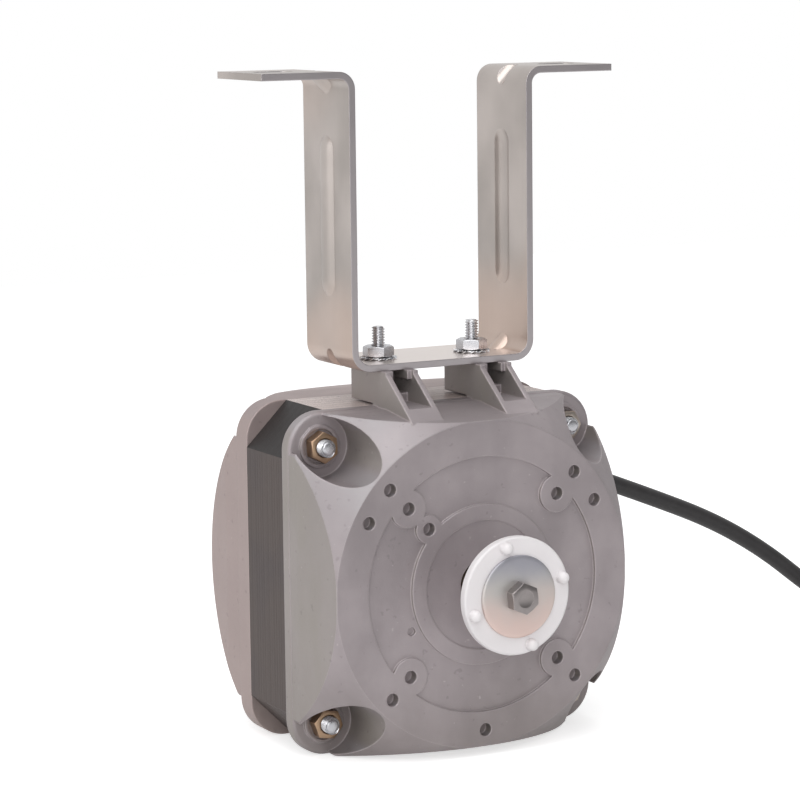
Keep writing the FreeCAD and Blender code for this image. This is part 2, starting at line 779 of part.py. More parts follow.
def mounting_bracket():
    half = bracket_profile().extrude(V(0, strip_width, 0))
    webs = gusset_bodies()
    half = half.multiFuse([web for web, hollow in webs])
    half = half.cut(fuse_all([hollow for web, hollow in webs]))
    leg = bracket_width / 2
    middle = strip_front + strip_width / 2
    ridge_radius = (emboss_width ** 2 / 4 + emboss_height ** 2) / (2 * emboss_height)
    axis_x = leg + emboss_height - ridge_radius
    straight = emboss_length - emboss_width
    low = web_height + emboss_place * bracket_height - straight / 2
    ridge = Part.makeCylinder(ridge_radius, straight, V(axis_x, middle, low))
    caps = [Part.makeSphere(ridge_radius, V(axis_x, middle, low + step)) for step in (0, straight)]
    ridge = ridge.multiFuse(caps)
    ridge_end = low + emboss_length + emboss_width
    outer = ridge.common(box((leg - sheet / 2, strip_front, low - emboss_width),
                             (leg + 2 * emboss_height, strip_front + strip_width, ridge_end)))
    inner = ridge.copy()
    inner.translate(V(-sheet, 0, 0))
    inner = inner.common(box((leg - 2 * sheet, strip_front, low - emboss_width),
                             (leg + emboss_height, strip_front + strip_width, ridge_end)))
    half = half.fuse(outer).cut(inner)
    slot_x = leg + slot_offset
    slot_flat = slot_length - slot_width
    slot = box((slot_x - slot_flat / 2, middle - slot_width / 2, tab_height - 2 * sheet),
               (slot_x + slot_flat / 2, middle + slot_width / 2, tab_height + 1))
    slot_ends = [Part.makeCylinder(slot_width / 2, 2 * sheet + 1, V(slot_x + sign * slot_flat / 2, middle,
                                   tab_height - 2 * sheet)) for sign in (-1, 1)]
    half = half.cut(fuse_all([slot] + slot_ends))
    other = half.mirror(V(0, 0, 0), V(1, 0, 0))
    whole = half.fuse(other).removeSplitter()
    hole_radius = stud_diameter / 2 + stud_clearance
    hole_start = web_height - sheet / 2
    holes = [Part.makeCylinder(hole_radius, 2 * sheet, V(sign * stud_spacing / 2, stud_depth, hole_start))
             for sign in (-1, 1)]
    return whole.cut(fuse_all(holes))


def stud_places():
    return [sign * stud_spacing / 2 for sign in (-1, 1)]


def bracket_screws():
    ceiling = web_height - lug_plate
    screws = []
    for x in stud_places():
        head = hexagon(head_across_flats, head_thickness, False)
        head.rotate(V(0, 0, 0), V(0, 0, 1), 30)
        head = moved(head, x, stud_depth, ceiling - head_thickness)
        shank = Part.makeCylinder(stud_diameter / 2, stud_top - ceiling, V(x, stud_depth, ceiling))
        tip = shank.makeChamfer(0.4, [edge for edge in shank.Edges
                                      if abs(edge.CenterOfMass.z - stud_top) < 1e-6])
        screws.append(head.fuse(tip))
    return screws


def lock_washers():
    washers = []
    for x in stud_places():
        outline = []
        for k in range(2 * star_teeth):
            radius = star_diameter / 2 - (star_tooth_depth if k % 2 else 0)
            angle = math.radians(180 * k / star_teeth)
            outline.append(V(x + radius * math.cos(angle), stud_depth + radius * math.sin(angle), web_top))
        star = Part.Face(Part.makePolygon(outline + outline[:1])).extrude(V(0, 0, star_thickness))
        bore = Part.makeCylinder(stud_diameter / 2 + stud_clearance / 2, 3 * star_thickness,
                                 V(x, stud_depth, web_top - star_thickness))
        washers.append(star.cut(bore))
    return washers


def bracket_nuts():
    nuts = []
    for index, x in enumerate(stud_places()):
        nut = hexagon(small_nut_across_flats, small_nut_height)
        nut.rotate(V(0, 0, 0), V(0, 0, 1), 8 + 35 * index)
        nut = moved(nut, x, stud_depth, web_top + star_thickness)
        nuts.append(nut.cut(Part.makeCylinder(stud_diameter / 2, 2 * small_nut_height,
                                              V(x, stud_depth, web_top + star_thickness - 1))))
    return nuts


# Supply lead: moulded strain relief, the lead down to the floor, its put-away coil and stripped ends.
def relief_point(share):
    bend = math.radians(relief_droop)
    along = share * relief_length
    angle = share * bend
    return V(half_side + relief_collar_thickness + relief_length * math.sin(angle) / bend,
             lead_exit_depth, lead_exit_height - relief_length * (1 - math.cos(angle)) / bend), angle, along


def strain_relief():
    sections = []
    for step in range(5):
        share = step / 4
        point, angle, along = relief_point(share)
        radius = (relief_root + (relief_tip - relief_root) * share) / 2
        circle = Part.Circle(point, V(math.cos(angle), 0, -math.sin(angle)), radius)
        sections.append(Part.Wire([circle.toShape()]))
    tail = Part.makeLoft(sections, True, False)
    base = V(half_side, lead_exit_depth, lead_exit_height)
    collar = Part.makeCylinder(relief_collar / 2, relief_collar_thickness, base, V(1, 0, 0))
    neck = Part.makeCylinder(relief_neck / 2, cover_wall + small_gap, base, V(-1, 0, 0))
    keeper = Part.makeCylinder(relief_collar / 2, relief_collar_thickness,
                               base - V(cover_wall + small_gap, 0, 0), V(-1, 0, 0))
    return tail.multiFuse([collar, neck, keeper])


def lead_route():
    start, angle, along = relief_point(1)
    rest = lead_diameter / 2 + floor_height
    drop = start.z - rest
    outer_turn = coil_middle_x + coil_radius + (coil_turns - 1) * lead_diameter / 2
    return [
        start,
        V(half_side + 47.5, lead_exit_depth, rest + 0.860 * drop),
        V(half_side + 70.5, lead_exit_depth, rest + 0.704 * drop),
        V(half_side + 89.5, lead_exit_depth - 0.5, rest + 0.523 * drop),
        V(half_side + 105.5, lead_exit_depth - 2.0, rest + 0.322 * drop),
        V(half_side + 119.5, lead_exit_depth - 7.0, rest + 0.150 * drop),
        V(half_side + 130.5, lead_exit_depth - 16.5, rest + 0.040 * drop),
        V(outer_turn - 5.0, coil_middle_y + 27.0, rest),
        V(outer_turn, coil_middle_y + 12.0, rest),
        V(outer_turn, coil_middle_y - 3.0, rest),
    ]


def lead_path(points):
    edges = []
    length = 0.0
    previous = points[0]
    for before, here, after in zip(points, points[1:], points[2:]):
        incoming = here - before
        outgoing = after - here
        turn = incoming.getAngle(outgoing)
        reach = 0.45 * min(incoming.Length, outgoing.Length)
        radius = reach / math.tan(turn / 2)
        first = here - incoming.normalize() * reach
        last = here + outgoing.normalize() * reach
        middle_direction = (last - here) + (first - here)
        gap = radius / math.cos(turn / 2) - radius
        middle = here + middle_direction.normalize() * gap
        edges.append(Part.LineSegment(previous, first).toShape())
        edges.append(Part.Arc(first, middle, last).toShape())
        length += (first - previous).Length + radius * turn
        previous = last
        print("lead bend radius %.1f mm, turn %.1f degrees" % (radius, math.degrees(turn)))
    edges.append(Part.LineSegment(previous, points[-1]).toShape())
    length += (points[-1] - previous).Length
    return Part.Wire(edges), length


def cable_run():
    points = lead_route()
    path, length = lead_path(points)
    direction = points[1] - points[0]
    circle = Part.Circle(points[0], direction, lead_diameter / 2)
    tube = path.makePipeShell([Part.Wire([circle.toShape()])], True, False)
    expected = math.pi * (lead_diameter / 2) ** 2 * length
    print("lead run %.1f mm, volume %.1f of %.1f" % (length, tube.Volume, expected))
    return tube


def cable_coil():
    inner = coil_radius - coil_turns * lead_diameter / 2
    outer = coil_radius + coil_turns * lead_diameter / 2
    centre = V(coil_middle_x, coil_middle_y, floor_height)
    middle = Part.makeCylinder(inner, 3 * lead_diameter, centre - V(0, 0, lead_diameter))
    ring = Part.makeCylinder(outer, lead_diameter, centre).cut(middle)
    round_edges = [edge for edge in ring.Edges if edge.Curve.TypeId == "Part::GeomCircle"]
    return ring.makeFillet(0.3 * lead_diameter, round_edges)


def cable_cores():
    inner = coil_radius - coil_turns * lead_diameter / 2
    cores = []
    height = floor_height + core_diameter / 2
    for index, spread in enumerate((-7, 0, 7)):
        angle = math.radians(core_lead_angle + 4.5 * (index - 1))
        start = V(coil_middle_x + inner * math.cos(angle), coil_middle_y + inner * math.sin(angle), height)
        heading = math.radians(core_lead_angle - 135 + spread)
        direction = V(math.cos(heading), math.sin(heading), 0)
        sleeve = Part.makeCylinder(core_diameter / 2, core_length, start, direction)
        tip_start = start + direction * core_length
        tip = Part.makeCylinder(core_tip_diameter / 2, core_tip_length, tip_start, direction)
        cores.append(sleeve.fuse(tip))
    return cores


def save(name, shape):
    solids = shape if isinstance(shape, list) else [shape]
    whole = solids[0] if len(solids) == 1 else Part.makeCompound(solids)
    whole.exportStep(os.path.join("parts", name + ".step"))
    print("%-22s solids %d valid %s volume %.0f" % (name, len(whole.Solids), whole.isValid(), whole.Volume))


os.makedirs("parts", exist_ok=True)
save("front_cover", front_cover())
save("rear_cover", rear_cover())
save("stator_yoke", stator_yoke())
save("pole_star", pole_star())
for number, quarter in enumerate((0, 90, 180, 270), 1):
    save("coil_bobbin_%d" % number, coil_bobbin(quarter))
    save("winding_%d" % number, winding(quarter))
save("shading_rings", [shading_loop(quarter) for quarter in (0, 90, 180, 270)])
save("front_bearing", bearing())
save("rear_bearing", to_rear(bearing()))
save("front_oil_felt", oil_felt())
save("rear_oil_felt", to_rear(oil_felt()))
save("front_bearing_clip", bearing_clip())
save("rear_bearing_clip", to_rear(bearing_clip()))
save("through_bolts", through_bolts())
save("bolt_nuts", bolt_nuts())
save("mounting_bracket", mounting_bracket())
save("bracket_screws", bracket_screws())
save("bracket_lock_washers", lock_washers())
save("bracket_nuts", bracket_nuts())
save("shaft", shaft())
save("thrust_washers", thrust_washers())
save("snap_rings", snap_rings())
save("rotor_core", rotor_core())
save("rotor_cage", rotor_cage())
save("fan_hub", fan_hub())
save("hub_washer", hub_washer())
save("hub_screw", hub_screw())
save("strain_relief", strain_relief())
save("cable_run", cable_run())
save("cable_coil", cable_coil())
save("cable_cores", cable_cores())
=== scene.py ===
import math

import bpy
from mathutils import Matrix, Vector


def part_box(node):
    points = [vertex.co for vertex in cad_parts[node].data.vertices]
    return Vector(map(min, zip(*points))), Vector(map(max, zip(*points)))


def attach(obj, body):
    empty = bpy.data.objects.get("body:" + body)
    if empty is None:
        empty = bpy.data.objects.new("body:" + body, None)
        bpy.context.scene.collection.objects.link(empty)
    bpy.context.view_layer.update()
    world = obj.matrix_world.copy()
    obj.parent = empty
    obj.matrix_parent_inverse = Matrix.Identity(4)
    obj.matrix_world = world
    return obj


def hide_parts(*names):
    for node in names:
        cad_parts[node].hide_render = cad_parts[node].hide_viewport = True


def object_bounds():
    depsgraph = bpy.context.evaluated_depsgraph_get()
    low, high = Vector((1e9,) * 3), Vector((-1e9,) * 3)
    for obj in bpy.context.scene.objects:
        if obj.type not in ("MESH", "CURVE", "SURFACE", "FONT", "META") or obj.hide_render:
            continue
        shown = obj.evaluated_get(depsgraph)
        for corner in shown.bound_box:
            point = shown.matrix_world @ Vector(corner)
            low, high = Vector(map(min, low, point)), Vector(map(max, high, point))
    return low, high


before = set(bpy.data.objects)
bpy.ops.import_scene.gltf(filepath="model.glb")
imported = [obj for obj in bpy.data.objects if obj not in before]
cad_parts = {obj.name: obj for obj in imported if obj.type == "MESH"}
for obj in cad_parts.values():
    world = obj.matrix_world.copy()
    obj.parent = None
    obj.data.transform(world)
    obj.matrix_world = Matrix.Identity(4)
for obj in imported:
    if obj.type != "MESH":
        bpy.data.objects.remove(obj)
cad_low, cad_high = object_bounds()


# Camera: a long lens at the photograph's place, left of the motor and a little above it,
# looking a few degrees down. The motor stands with its front face square to the world's Y axis.
camera_yaw = math.radians(27.95)
camera_pitch = math.radians(8.18)
camera_roll = math.radians(-0.67)
camera_place = Vector((-0.41755, -0.73678, 0.17524))
camera_lens = 135.96
film_width = 36.0
nearest_seen = 0.01

bpy.ops.object.select_all(action="DESELECT")
level = math.cos(camera_pitch)
forward = Vector((math.sin(camera_yaw) * level, math.cos(camera_yaw) * level, -math.sin(camera_pitch)))
right = Vector((math.cos(camera_yaw), -math.sin(camera_yaw), 0))
up = right.cross(forward)
rolled_right = right * math.cos(camera_roll) + up * math.sin(camera_roll)
rolled_up = up * math.cos(camera_roll) - right * math.sin(camera_roll)
bpy.ops.object.camera_add()
camera = bpy.context.object
camera.data.lens = camera_lens
camera.data.sensor_width = film_width
camera.data.clip_start = nearest_seen
camera_turn = Matrix((rolled_right, rolled_up, -forward)).transposed().to_4x4()
camera.matrix_world = Matrix.Translation(camera_place) @ camera_turn
bpy.context.scene.camera = camera
bpy.context.scene.view_settings.view_transform = "Standard"


# Stage: a white floor under the motor and plain soft lamps, as in a small product studio.
# Metal sees white walls all round, and a dimmer room where the photographer stands.
motor_middle = (0.0, 0.04, 0.03)
pure_white = (1, 1, 1, 1)
floor_size = 2.6
floor_gap = 0.0001
floor_tone = (0.82, 0.82, 0.82, 1)
floor_seen_glow = 0.6
floor_mirrored_glow = 0.3
room_light = 0.5
backdrop_light = 0.5
wall_shine = 0.35
dim_share = 0.6
dim_side = (0.6, -0.8, -0.1)


class Value:
    """A shader socket that takes part in Python arithmetic."""

    def __init__(self, finish, socket):
        self.finish = finish
        self.socket = socket

    def __add__(self, other):
        return self.finish.maths("ADD", self, other)

    def __radd__(self, other):
        return self.finish.maths("ADD", other, self)

    def __sub__(self, other):
        return self.finish.maths("SUBTRACT", self, other)

    def __rsub__(self, other):
        return self.finish.maths("SUBTRACT", other, self)

    def __mul__(self, other):
        return self.finish.maths("MULTIPLY", self, other)

    def __rmul__(self, other):
        return self.finish.maths("MULTIPLY", other, self)

    def above(self, low, high):
        """0 below low, 1 over high and smooth between."""
        return self.finish.node(
            "ShaderNodeMapRange", {"interpolation_type": "SMOOTHSTEP", "clamp": True},
            {"Value": self, "From Min": low, "From Max": high})


class Finish:
    """The shader nodes of one material, or of the world where its tree is given."""

    def __init__(self, name, tree=None):
        self.material = None
        if tree is None:
            self.material = bpy.data.materials.new(name)
            self.material.use_nodes = True
            tree = self.material.node_tree
        self.tree = tree
        self.tree.nodes.clear()

    def node(self, kind, settings=None, inputs=None, output=0):
        """One node: its settings come first, then the values or links of its sockets."""
        made = self.tree.nodes.new(kind)
        for name, setting in (settings or {}).items():
            setattr(made, name, setting)
        for name, value in (inputs or {}).items():
            if isinstance(value, Value):
                self.tree.links.new(value.socket, made.inputs[name])
            else:
                made.inputs[name].default_value = value
        return Value(self, made.outputs[output])

    def maths(self, operation, *values):
        return self.node("ShaderNodeMath", {"operation": operation}, dict(enumerate(values)))

    def along(self, first, second):
        """How far two directions agree, from -1 to 1."""
        return self.node("ShaderNodeVectorMath", {"operation": "DOT_PRODUCT"}, {0: first, 1: second}, "Value")

    def place(self, stretch=(1.0, 1.0, 1.0)):
        place = self.node("ShaderNodeTexCoord", output="Object")
        return self.node("ShaderNodeMapping", inputs={"Vector": place, "Scale": stretch})

    def where(self, axis):
        """The distance along an axis of the motor, in metres."""
        return self.node("ShaderNodeSeparateXYZ", inputs={"Vector": self.place()}, output=axis)

    def facing(self, axis):
        """How far the surface faces along an axis of the motor, from -1 to 1."""
        normal = self.node("ShaderNodeTexCoord", output="Normal")
        return self.node("ShaderNodeSeparateXYZ", inputs={"Vector": normal}, output=axis)

    def noise(self, scale, detail=3.0, roughness=0.5, stretch=(1.0, 1.0, 1.0)):
        return self.node("ShaderNodeTexNoise", inputs={
            "Vector": self.place(stretch), "Scale": scale, "Detail": detail, "Roughness": roughness})

    def blend(self, share, first, second):
        """A colour between two others."""
        made = self.tree.nodes.new("ShaderNodeMix")
        made.data_type = "RGBA"
        for name, value in (("Factor_Float", share), ("A_Color", first), ("B_Color", second)):
            target = next(item for item in made.inputs if item.identifier == name)
            if isinstance(value, Value):
                self.tree.links.new(value.socket, target)
            else:
                target.default_value = (*value, 1.0)
        return Value(self, next(item for item in made.outputs if item.identifier == "Result_Color"))

    def rounded(self, radius):
        """The surface's direction as if its edges were rounded off."""
        return self.node("ShaderNodeBevel", {"samples": 6}, {"Radius": radius})

    def along_edges(self, radius, low, high):
        """1 on the edges of the solid, where the rounded direction leaves the flat one."""
        flat = self.node("ShaderNodeNewGeometry", output="Normal")
        return (1.0 - self.along(flat, self.rounded(radius))).above(low, high)

    def bump(self, height, distance, strength, rounding=None):
        """Grain of a depth in metres, on edges that look rounded where a radius is given."""
        inputs = {"Height": height, "Distance": distance, "Strength": strength}
        if rounding is not None:
            inputs["Normal"] = self.rounded(rounding)
        return self.node("ShaderNodeBump", inputs=inputs)

    def surface(self, **inputs):
        named = {name.replace("_", " "): value for name, value in inputs.items()}
        shader = self.node("ShaderNodeBsdfPrincipled", inputs=named)
        return self.ended(shader, "ShaderNodeOutputMaterial")

    def ended(self, shader, kind):
        """Links the last shader to the output, and hands over the material."""
        output = self.tree.nodes.new(kind)
        self.tree.links.new(shader.socket, output.inputs["Surface"])
        return self.material


def stage_floor():
    bpy.ops.object.select_all(action="DESELECT")
    bpy.ops.mesh.primitive_plane_add(size=floor_size, location=(0, 0, cad_low.z - floor_gap))
    floor = bpy.context.object
    floor.name = "floor"
    finish = Finish("floor_white")
    seen = finish.node("ShaderNodeLightPath", output="Is Camera Ray")
    mirrored = finish.node("ShaderNodeLightPath", output="Is Glossy Ray")
    glow = finish.node("ShaderNodeEmission", inputs={
        "Color": pure_white, "Strength": seen * floor_seen_glow + mirrored * floor_mirrored_glow})
    matt = finish.node("ShaderNodeBsdfDiffuse", inputs={"Color": floor_tone})
    both = finish.node("ShaderNodeAddShader", inputs={0: glow, 1: matt})
    floor.data.materials.append(finish.ended(both, "ShaderNodeOutputMaterial"))


def studio_world():
    world = bpy.data.worlds.new("studio")
    world.use_nodes = True
    bpy.context.scene.world = world
    finish = Finish("studio", world.node_tree)
    seen = finish.node("ShaderNodeLightPath", output="Is Camera Ray")
    mirrored = finish.node("ShaderNodeLightPath", output="Is Glossy Ray")
    way = finish.node("ShaderNodeTexCoord", output="Generated")
    dim = finish.along(way, dim_side).above(0.1, 0.85)
    strength = room_light + seen * backdrop_light + mirrored * (wall_shine - dim_share * dim)
    light = finish.node("ShaderNodeBackground", inputs={"Color": pure_white, "Strength": strength})
    finish.ended(light, "ShaderNodeOutputWorld")


def soft_lamp(name, place, width, height, power):
    """A rectangular lamp that shines at the motor's middle."""
    bpy.ops.object.light_add(type="AREA", location=place)
    lamp = bpy.context.object
    lamp.name = name
    lamp.data.shape = "RECTANGLE"
    lamp.data.size = width
    lamp.data.size_y = height
    lamp.data.energy = power
    aim = Vector(motor_middle) - Vector(place)
    lamp.rotation_euler = aim.to_track_quat("-Z", "Y").to_euler()


stage_floor()
studio_world()
soft_lamp("lamp_over", (-0.35, -0.25, 1.25), 1.2, 1.2, power=8.0)
soft_lamp("lamp_front", (-0.75, -1.25, 0.55), 0.9, 0.9, power=7.0)
soft_lamp("lamp_left", (-1.3, 0.25, 0.45), 0.7, 1.0, power=1.5)


# Front and rear covers: aluminium pressure die castings, tumbled to a fine matt grain.
# They clamp the stack between their square flanges, and nothing on them is painted.
casting_grain = 0.00006
casting_edge = 0.0007
bright_edge_radius = 0.0008


def coat(made, material):
    """Gives an object one finish all over."""
    made.data.materials.clear()
    made.data.materials.append(material)


def dress(node, material):
    """Gives a frame node its finish."""
    coat(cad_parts[node], material)


def scaled(tone, share):
    """The same hue, darker or brighter."""
    return tuple(min(1.0, share * part) for part in tone)


def cast_aluminium(name, pale, dark, flank_light_tone, shoulder_light_tone):
    """The casting's skin: cloudy and specked, with painted shade low down, painted light and shade on the
    left flank and shoulder, and edges brightened by wear and a painted highlight.
    """
    finish = Finish(name)
    cloud = finish.noise(28.0, detail=5.0, roughness=0.6).above(0.34, 0.68)
    flow = finish.noise(70.0, detail=4.0, stretch=(1.0, 1.0, 0.35)).above(0.42, 0.72)
    grain = finish.noise(900.0, detail=5.0, roughness=0.65)
    pits = finish.noise(2600.0, detail=2.0)
    dark_speck = finish.noise(420.0, detail=2.0).above(0.66, 0.74)
    bright_speck = finish.noise(650.0, detail=2.0).above(0.72, 0.78)
    tone = finish.blend(cloud, dark, pale)
    tone = finish.blend(flow * 0.3, tone, scaled(dark, 0.78))
    # Painted shade: the casting turns darker and warmer towards the bottom.
    low_down = 1.0 - (finish.where("Z") + 0.01 * cloud).above(-0.050, -0.005)
    low_shade_tone = (0.80 * dark[0], 0.80 * dark[1], 0.72 * dark[2])
    tone = finish.blend(low_down * 0.5, tone, low_shade_tone)
    # Painted light and shade: left-facing sides and up-left slopes get tones set for how the light falls on
    # them.
    leftward = 0.0 - finish.facing("X")
    flank_lighting = leftward.above(0.7, 0.95)
    tone = finish.blend(flank_lighting * (0.6 + 0.3 * flow), tone, flank_light_tone)
    slanting = leftward.above(0.12, 0.4) * (1.0 - leftward.above(0.7, 0.9))
    shoulder_lighting = slanting * finish.facing("Z").above(0.12, 0.45)
    tone = finish.blend(shoulder_lighting * (0.35 + 0.45 * flow), tone, shoulder_light_tone)
    tone = finish.blend(dark_speck * 0.3, tone, scaled(dark, 0.55))
    tone = finish.blend(bright_speck * 0.5, tone, scaled(pale, 1.35))
    # Edges brighten, partly as wear and partly as a painted highlight.
    wear_and_highlight_edges = finish.along_edges(bright_edge_radius, 0.03, 0.2)
    tone = finish.blend(wear_and_highlight_edges * 0.6, tone, scaled(pale, 1.5))
    bump = finish.bump(grain * 0.7 + pits * 0.3, casting_grain, 0.9, casting_edge)
    return finish.surface(Base_Color=tone, Metallic=0.5, Roughness=0.44 + 0.16 * grain, Normal=bump)


dress("front_cover", cast_aluminium(
    "cast_front_finish", pale=(0.405, 0.358, 0.369), dark=(0.322, 0.285, 0.294),
    flank_light_tone=(0.325, 0.298, 0.272), shoulder_light_tone=(0.375, 0.355, 0.365)))
dress("rear_cover", cast_aluminium(
    "cast_rear_finish", pale=(0.435, 0.358, 0.348), dark=(0.355, 0.288, 0.282),
    flank_light_tone=(0.41, 0.33, 0.315), shoulder_light_tone=(0.37, 0.31, 0.31)))


# Stator stack: punched sheets of electrical steel, half a millimetre each, pressed together.
# The cut edges are dark from the annealing oven; the chamfers carry painted shade and the top a painted
# highlight.
stack_low, stack_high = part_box("stator_yoke")
sheet_count = 47
sheet_share = 0.94
sheet_slip = 0.00003
slip_rates = (12.9898, 4.137)
stack_chamfer = 0.013
bolt_half = 0.0402
bolt_corners = [(x, z) for x in (-bolt_half, bolt_half) for z in (-bolt_half, bolt_half)]
bore_radius = 0.042
bore_facets = 72
hole_radius = 0.0028
hole_facets = 16
punch_before = 0.001
punch_depth = 0.002
annealed_dark = (0.066, 0.050, 0.046)
annealed_pale = (0.116, 0.092, 0.084)
oxide_tone = (0.066, 0.054, 0.058)
chamfer_shade_tone = (0.030, 0.027, 0.027)
top_highlight_tone = (0.85, 0.74, 0.71)


def picked(made):
    """Selects one object alone, as the one that is worked on."""
    bpy.ops.object.select_all(action="DESELECT")
    made.select_set(True)
    bpy.context.view_layer.objects.active = made


def combined(made, other, operation):
    """One solid from two, cut or joined as on the machine."""
    picked(made)
    step = made.modifiers.new("step", "BOOLEAN")
    step.operation = operation
    step.solver = "EXACT"
    step.object = other
    bpy.ops.object.modifier_apply(modifier="step")
    bpy.data.objects.remove(other)
    return made


def placed(made, place=(0, 0, 0), turn=(0, 0, 0)):
    """Puts a finished object's place and turn into its mesh."""
    made.location = place
    made.rotation_euler = turn
    picked(made)
    bpy.ops.object.transform_apply(location=True, rotation=True, scale=True)
    return made


def twin(made):
    """A copy with a mesh of its own."""
    copy = made.copy()
    copy.data = made.data.copy()
    bpy.context.scene.collection.objects.link(copy)
    return copy


def joined(name, pieces):
    """One object from several, the first of them the one that stays."""
    bpy.ops.object.select_all(action="DESELECT")
    for piece in pieces:
        piece.select_set(True)
    bpy.context.view_layer.objects.active = pieces[0]
    bpy.ops.object.join()
    pieces[0].name = name
    return pieces[0]


def along_y(radius, low, high, x, z, facets):
    """A round punch that points along the shaft."""
    bpy.ops.object.select_all(action="DESELECT")
    bpy.ops.mesh.primitive_cylinder_add(
        vertices=facets, radius=radius, depth=high - low, location=(x, (low + high) / 2, z),
        rotation=(math.pi / 2, 0, 0))
    bpy.ops.object.transform_apply(location=True, rotation=True, scale=True)
    return bpy.context.object


def one_sheet(thickness):
    """A punched sheet at the stack's front: a square with its corners cut off, a bore and four holes."""
    start = stack_low.y
    size = stack_high.x - stack_low.x
    bpy.ops.object.select_all(action="DESELECT")
    bpy.ops.mesh.primitive_cube_add(size=1.0, location=(0, start + thickness / 2, 0))
    sheet = bpy.context.object
    sheet.scale = (size, thickness, size)
    bpy.ops.object.transform_apply(location=True, rotation=True, scale=True)
    bpy.ops.object.mode_set(mode="EDIT")
    bpy.ops.mesh.select_all(action="DESELECT")
    bpy.ops.mesh.select_mode(type="EDGE")
    bpy.ops.object.mode_set(mode="OBJECT")
    for edge in sheet.data.edges:
        first, last = (sheet.data.vertices[index].co for index in edge.vertices)
        edge.select = abs(first.y - last.y) > thickness / 2
    bpy.ops.object.mode_set(mode="EDIT")
    bpy.ops.mesh.bevel(offset=stack_chamfer, offset_type="OFFSET", segments=1)
    bpy.ops.object.mode_set(mode="OBJECT")
    punch_low = start - punch_before
    punch_high = start + punch_depth
    bore = along_y(bore_radius, punch_low, punch_high, 0, 0, bore_facets)
    sheet = combined(sheet, bore, "DIFFERENCE")
    for x, z in bolt_corners:
        hole = along_y(hole_radius, punch_low, punch_high, x, z, hole_facets)
        sheet = combined(sheet, hole, "DIFFERENCE")
    return sheet


def stacked_sheets():
    """All sheets with a hairline between them, none of them cut to quite the same size."""
    pitch = (stack_high.y - stack_low.y) / sheet_count
    first = one_sheet(pitch * sheet_share)
    sheets = [first]
    for index in range(1, sheet_count):
        sheet = twin(first)
        slip = sheet_slip * math.sin(slip_rates[0] * index) * math.cos(slip_rates[1] * index)
        inwards = 1.0 - abs(slip) / stack_high.x
        sheet.data.transform(Matrix.Translation((0, index * pitch, 0)))
        sheet.data.transform(Matrix.Diagonal((inwards, 1.0, inwards, 1.0)))
        sheets.append(sheet)
    return joined("stack_sheets", sheets)


def sheet_steel():
    """Streaks run round the sheets; the chamfers carry painted shade, and the top a painted highlight."""
    finish = Finish("stack_finish")
    streak = finish.noise(60.0, detail=4.0, stretch=(1.0, 30.0, 1.0))
    cloud = finish.noise(40.0, detail=3.0).above(0.35, 0.7)
    tone = finish.blend(streak, annealed_dark, annealed_pale)
    tone = finish.blend(cloud * 0.5, tone, oxide_tone)
    upward = finish.facing("Z")
    # Painted shade: the slanting corner chamfers are made nearly black, as if shaded by the covers.
    chamfer_shade = upward.above(0.3, 0.6) * (1.0 - upward.above(0.8, 0.95))
    tone = finish.blend(chamfer_shade, tone, chamfer_shade_tone)
    # Painted highlight: the upward faces are made pale, as if lit from above.
    top_highlight = upward.above(0.9, 0.98) * (0.55 + 0.45 * streak)
    tone = finish.blend(top_highlight, tone, top_highlight_tone)
    bump = finish.bump(finish.noise(1400.0), 0.00002, 0.5)
    return finish.surface(
        Base_Color=tone, Metallic=0.35, Roughness=0.45 + 0.15 * streak - 0.1 * top_highlight, Normal=bump)


def stand_in(made, node, body, material):
    """Shows a finished object in the place of a frame node."""
    dress(node, material)
    coat(made, material)
    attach(made, body)
    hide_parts(node)


stack_finish = sheet_steel()
dress("pole_star", stack_finish)
dress("rotor_core", stack_finish)
stand_in(stacked_sheets(), "stator_yoke", "housing", stack_finish)


# Through bolts and their nuts: four M5 hexagon bolts of bright zinc-plated steel from the rear cover
# to the front one, each with a rolled thread and a rounded end, drawn up by yellow passivated nuts.
bolt_radius = 0.0025
bolt_pitch = 0.0008
bolt_flats = 0.008
bolt_end = 0.0174
bolt_head_seat = 0.0595
bolt_head_height = 0.0035
bolt_rounding = ((0.00002, -0.0006), (-0.0001, -0.0003), (-0.0004, -0.0001), (-0.0009, 0.0))
bolt_thread_end = 0.00045
bolt_turns = (0, 9, 18, 27)
nut_front = 0.0200
nut_seat = 0.0240
nut_turns = (10, 27, 44, 61)
thread_behind_nut = 0.004
thread_depth = 0.6
thread_flanks = (0.12, 0.44, 0.56, 0.88)
thread_runout = 0.0004
core_lap = 0.00002
joint_lap = 0.0001
thread_lead_in = 1.5
spare_turns = 2
seam_merge = 0.000002
smooth_angle = math.radians(35)
crown_angle = math.radians(28)
crown_circle = 0.475
blank_margin = 1.05
countersink = 1.14
countersink_depth = 0.0004
cutter_margin = 0.001


def drawn(outline):
    """An open outline in the XZ plane, drawn point by point from one vertex."""
    bpy.ops.object.select_all(action="DESELECT")
    bpy.ops.mesh.primitive_plane_add(size=0.001, location=(0, 0, 0))
    bpy.ops.object.mode_set(mode="EDIT")
    bpy.ops.mesh.select_mode(type="VERT")
    bpy.ops.mesh.select_all(action="SELECT")
    bpy.ops.mesh.merge(type="CENTER")
    bpy.ops.transform.translate(value=(outline[0][0], 0, outline[0][1]))
    for before, after in zip(outline, outline[1:]):
        step = (after[0] - before[0], 0, after[1] - before[1])
        bpy.ops.mesh.extrude_vertices_move(TRANSFORM_OT_translate={"value": step})
    bpy.ops.object.mode_set(mode="OBJECT")
    return bpy.context.object


